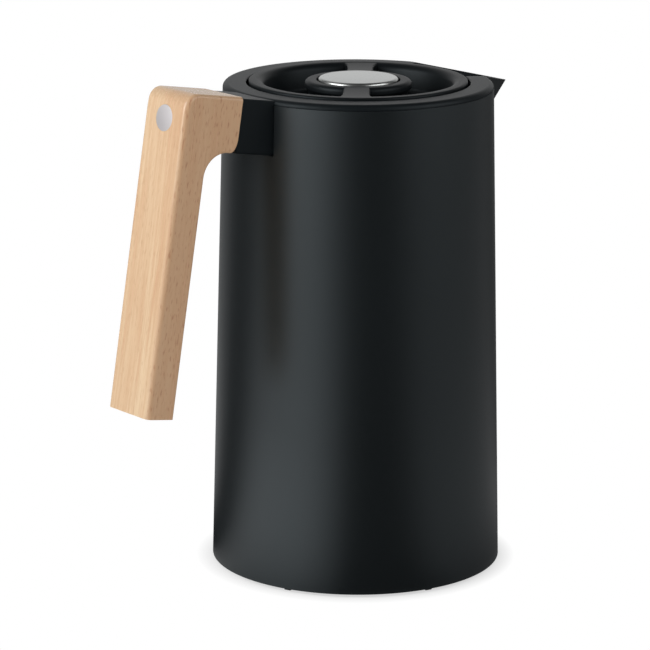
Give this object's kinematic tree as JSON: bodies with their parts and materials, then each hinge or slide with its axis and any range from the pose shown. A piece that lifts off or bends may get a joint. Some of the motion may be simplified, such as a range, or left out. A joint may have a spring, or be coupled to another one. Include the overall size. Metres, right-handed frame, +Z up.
{
  "type": "insulated pitcher",
  "caption": "Tapered insulated serving jug with a steel vacuum flask, pouring beak, wooden handle and a lift-out lid whose sprung push button opens a pour valve.",
  "frame": {"origin": "on the body's axis, in the plane of the foot ring's underside", "axes": "+Z up along the body's axis, +X towards the pouring beak, -X towards the handle, +Y to the left of someone pouring forwards"},
  "size_m": [0.2277, 0.1382, 0.2391],
  "materials": {
    "shell_plastic": "satin charcoal black with a very fine moulded grain",
    "collar_plastic": "smooth satin charcoal black",
    "lid_plastic": "smooth satin charcoal black",
    "base_plastic": "matt black",
    "foot_rubber": "matt black rubber",
    "cushion_rubber": "dull grey foam rubber",
    "flask_steel": "spun stainless steel",
    "fastener_steel": "plain stainless screws and washer",
    "spring_steel": "drawn stainless wire",
    "insert_brass": "turned brass",
    "button_steel": "satin steel with a bright bevel",
    "plug_metal": "satin metal disc",
    "plunger_plastic": "moulded dark grey plastic",
    "seal_silicone": "milky silicone rubber",
    "handle_wood": "oiled steamed beech, fine flecks along the grip"
  },
  "bodies": {
    "jug": {"outer_shell": "shell_plastic", "collar": "collar_plastic", "base_plate": "base_plastic", "foot_ring": "foot_rubber", "base_screws": "fastener_steel", "base_cushion": "cushion_rubber", "flask_inner_wall": "flask_steel", "flask_outer_wall": "flask_steel", "flask_base_cup": "flask_steel", "neck_gasket": "seal_silicone", "handle_grip": "handle_wood", "handle_plug": "plug_metal", "handle_screw": "fastener_steel", "handle_washer": "fastener_steel", "handle_insert": "insert_brass"},
    "seal": {"lid_seal": "seal_silicone"},
    "lid": {"lid_cover": "lid_plastic", "lid_stopper": "lid_plastic", "lid_screws": "fastener_steel", "return_spring": "spring_steel"},
    "plunger": {"button_cap": "button_steel", "button_core": "plunger_plastic", "plunger_stem": "plunger_plastic", "stem_oring": "seal_silicone", "valve_gasket": "seal_silicone", "valve_plate": "plunger_plastic", "valve_screw": "fastener_steel"}
  },
  "joints": [
    {"name": "lid_lift", "type": "slide", "parent": "jug", "child": "seal", "axis": [0, 0, 1], "range_m": [0, 0.07]},
    {"name": "lid_turn", "type": "hinge", "parent": "seal", "child": "lid", "pos_m": [0, 0, 0.2], "axis": [0, 0, 1], "continuous": true},
    {"name": "button_press", "type": "slide", "parent": "lid", "child": "plunger", "axis": [0, 0, -1], "range_m": [0, 0.005], "stiffness_N_per_m": 470, "springref_m": -0.008, "deforming": ["return_spring"]}
  ]
}
